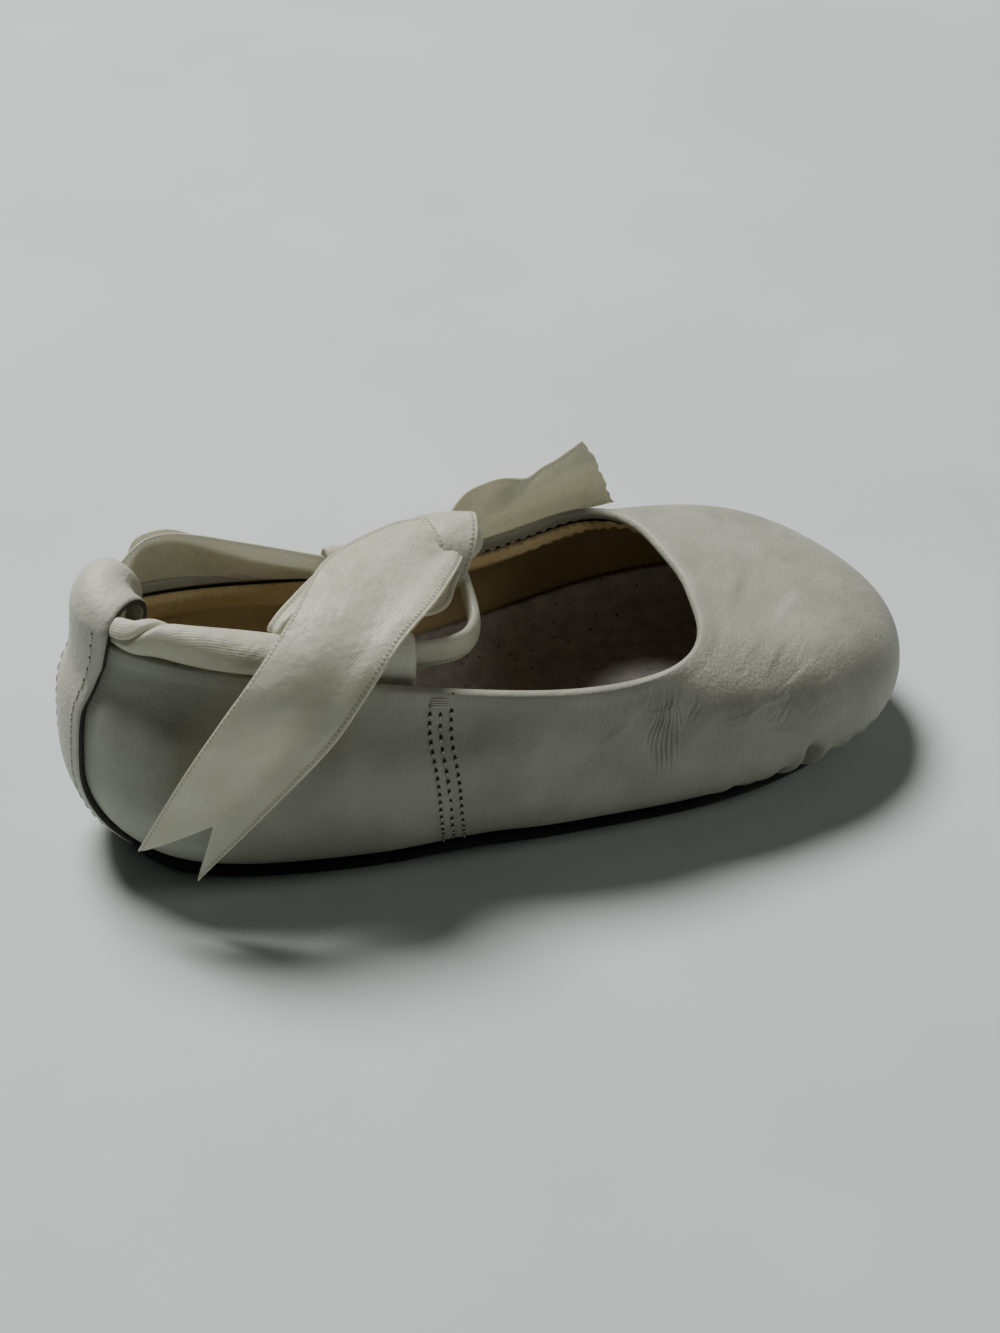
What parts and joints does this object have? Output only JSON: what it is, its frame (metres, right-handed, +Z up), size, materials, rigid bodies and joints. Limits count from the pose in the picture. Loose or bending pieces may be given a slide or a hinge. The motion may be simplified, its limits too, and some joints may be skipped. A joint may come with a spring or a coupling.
{
  "type": "baby mary jane shoe",
  "caption": "Soft leather mary jane for a small child, right foot, with a round open throat, a thin suede sole and a satin ribbon tied through loops at heel and sides.",
  "frame": {"origin": "on the floor plane, under the middle of the shoe's box without the ribbon's knot, loop and ends", "axes": "+X towards the toe, +Y to the wearer's left, which is the inner side of this right shoe, +Z up"},
  "size_m": [0.1434, 0.0584, 0.0517],
  "materials": {
    "upper_leather": "smooth soft full grain, ivory, satin",
    "sole_suede": "dark grey suede, matt",
    "footbed": "grey brown suede, matt",
    "ribbon_satin": "ivory satin ribbon with picot edges"
  },
  "bodies": {
    "root": {"outsole": "sole_suede", "insole": "footbed", "upper": "upper_leather", "heel_strip": "upper_leather", "side_loop_outer": "upper_leather", "side_loop_inner": "upper_leather", "ribbon_band": "ribbon_satin", "ribbon_knot": "ribbon_satin", "ribbon_tail_outer": "ribbon_satin", "ribbon_tail_inner": "ribbon_satin", "ribbon_bow_loop": "ribbon_satin"}
  },
  "joints": []
}
